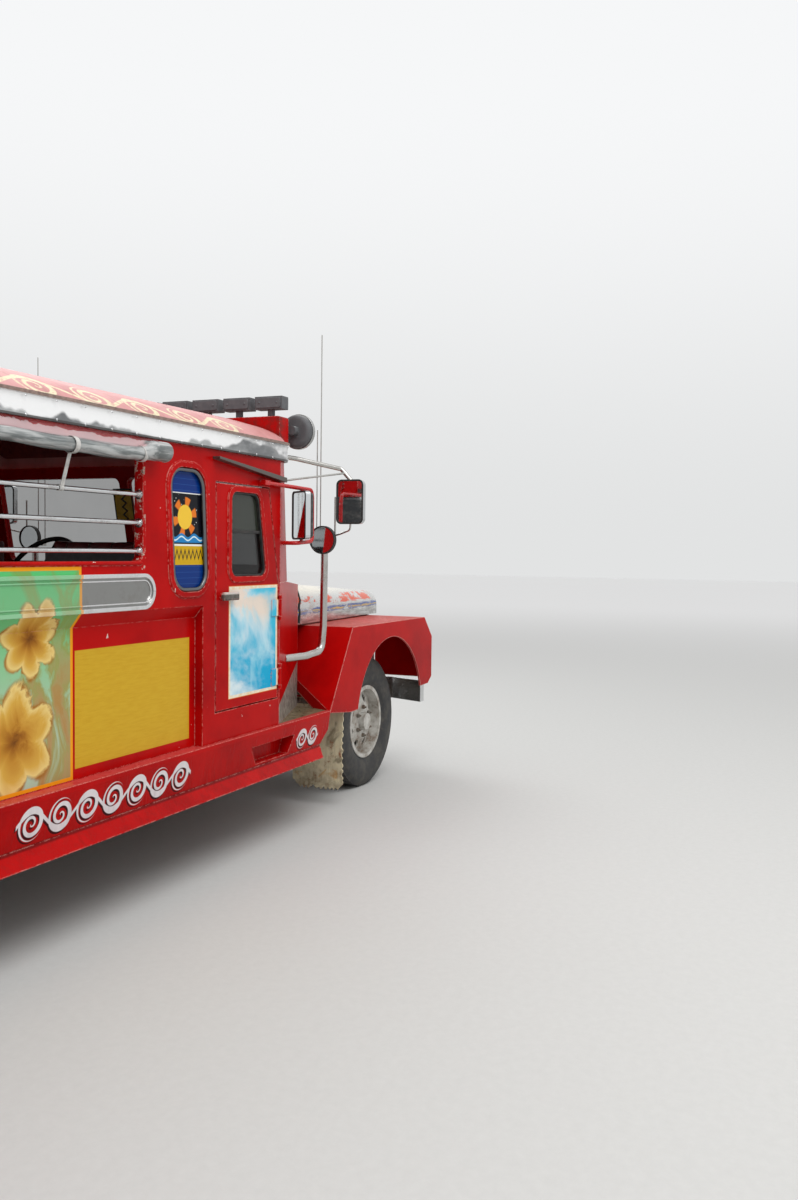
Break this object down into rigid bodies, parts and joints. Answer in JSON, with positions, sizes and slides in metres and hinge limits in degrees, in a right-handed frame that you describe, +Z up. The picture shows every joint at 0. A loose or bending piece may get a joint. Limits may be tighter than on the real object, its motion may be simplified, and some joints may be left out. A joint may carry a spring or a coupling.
{
  "type": "jeepney, a long public passenger vehicle",
  "caption": "Open-sided passenger jeepney with a short hooded nose, roof lamps, side benches, opening doors and hood, steering front wheels and twin rear wheels.",
  "frame": {"origin": "on the ground under the middle of the vehicle", "axes": "+X forward, +Y to the driver's left, +Z up"},
  "size_m": [6.48, 2.43, 2.52],
  "materials": {
    "body_red": "gloss red body paint, dusty low down",
    "bright_steel": "polished stainless sheet and tube",
    "cast_grey": "dull cast iron",
    "chassis_black": "black frame paint under road dust",
    "curtain_clear": "clear rain sheet, rolled up",
    "dash_black": "black moulded dashboard",
    "flap_rubber": "cream rubber, rust stained",
    "floor_steel": "grey-brown dusty tread plate",
    "frame_steel": "grey painted tube and board",
    "lamp_black": "black lamp housings",
    "lamp_clear": "clear lamp lens over a reflector",
    "lamp_red": "red lamp lens",
    "mirror_glass": "mirror glass in bright shells",
    "rim_paint": "silver wheel paint",
    "roof_pink": "faded, chalky red roof paint",
    "seat_vinyl": "dark red seat vinyl",
    "tank_steel": "plain steel, dusty",
    "tyre_rubber": "worn grey-black tyre rubber",
    "window_glass": "clear glass"
  },
  "bodies": {
    "body": {"bench_cushions": "seat_vinyl", "cab_seats": "seat_vinyl", "chassis_frame": "chassis_black", "cowl": "body_red", "cross_members": "chassis_black", "dashboard": "dash_black", "door_visors": "bright_steel", "driveshaft": "tank_steel", "engine_block": "cast_grey", "exhaust": "tank_steel", "fenders": "body_red", "fixed_glass": "window_glass", "floor": "floor_steel", "front_axle": "cast_grey", "front_bumper": "bright_steel", "front_grille": "bright_steel", "fuel_tank": "tank_steel", "grab_rails": "bright_steel", "headlamps": "lamp_clear", "leaf_springs": "chassis_black", "mirror_arms": "bright_steel", "mirrors": "mirror_glass", "mudflaps": "flap_rubber", "rain_curtains": "curtain_clear", "rear_axle": "cast_grey", "rear_step": "bright_steel", "rear_wall": "body_red", "roof": "roof_pink", "roof_fascia": "bright_steel", "roof_lamps": "lamp_black", "seat_frames": "frame_steel", "side_skirts": "body_red", "side_wall_left": "body_red", "side_wall_right": "body_red", "sign_board": "body_red", "tail_lamps": "lamp_red", "window_bars": "bright_steel", "windshield_frame": "body_red"},
    "hood": {"hood": "bright_steel"},
    "door_left": {"door_left": "body_red", "door_glass_left": "window_glass"},
    "door_right": {"door_right": "body_red", "door_glass_right": "window_glass"},
    "knuckle_left": {"knuckle_left": "cast_grey"},
    "knuckle_right": {"knuckle_right": "cast_grey"},
    "steering_wheel": {"steering_wheel": "dash_black"},
    "wheel_front_left": {"tyre_front_left": "tyre_rubber", "rim_front_left": "rim_paint"},
    "wheel_front_right": {"tyre_front_right": "tyre_rubber", "rim_front_right": "rim_paint"},
    "wheel_rear_left": {"tyre_rear_left": "tyre_rubber", "rim_rear_left": "rim_paint"},
    "wheel_rear_right": {"tyre_rear_right": "tyre_rubber", "rim_rear_right": "rim_paint"}
  },
  "joints": [
    {"name": "steer_left", "type": "hinge", "parent": "body", "child": "knuckle_left", "pos_m": [2.46, 0.65, 0.385], "axis": [0, 0, 1], "range_deg": [-30, 30]},
    {"name": "spin_front_left", "type": "hinge", "parent": "knuckle_left", "child": "wheel_front_left", "pos_m": [2.46, 0.76, 0.385], "axis": [0, 1, 0], "continuous": true},
    {"name": "spin_rear_left", "type": "hinge", "parent": "body", "child": "wheel_rear_left", "pos_m": [-1.29, 0.715, 0.385], "axis": [0, 1, 0], "continuous": true},
    {"name": "door_left_hinge", "type": "hinge", "parent": "body", "child": "door_left", "pos_m": [1.158, 0.989, 1], "axis": [0, 0, -1], "range_deg": [0, 70]},
    {"name": "steer_right", "type": "hinge", "parent": "body", "child": "knuckle_right", "pos_m": [2.46, -0.65, 0.385], "axis": [0, 0, 1], "range_deg": [-30, 30]},
    {"name": "spin_front_right", "type": "hinge", "parent": "knuckle_right", "child": "wheel_front_right", "pos_m": [2.46, -0.76, 0.385], "axis": [0, 1, 0], "continuous": true},
    {"name": "spin_rear_right", "type": "hinge", "parent": "body", "child": "wheel_rear_right", "pos_m": [-1.29, -0.715, 0.385], "axis": [0, 1, 0], "continuous": true},
    {"name": "door_right_hinge", "type": "hinge", "parent": "body", "child": "door_right", "pos_m": [1.158, -0.989, 1], "axis": [0, 0, 1], "range_deg": [0, 70]},
    {"name": "hood_hinge", "type": "hinge", "parent": "body", "child": "hood", "pos_m": [1.783, 0, 1.256], "axis": [0, -1, 0], "range_deg": [0, 55]},
    {"name": "steering_turn", "type": "hinge", "parent": "body", "child": "steering_wheel", "pos_m": [1.085, 0.4, 1.29], "axis": [-0.788, 0, 0.6157], "range_deg": [-480, 480]}
  ],
  "couplings": [
    {"joint": "steer_right", "follows": "steer_left", "ratio": 1},
    {"joint": "steering_turn", "follows": "steer_left", "ratio": 16}
  ]
}
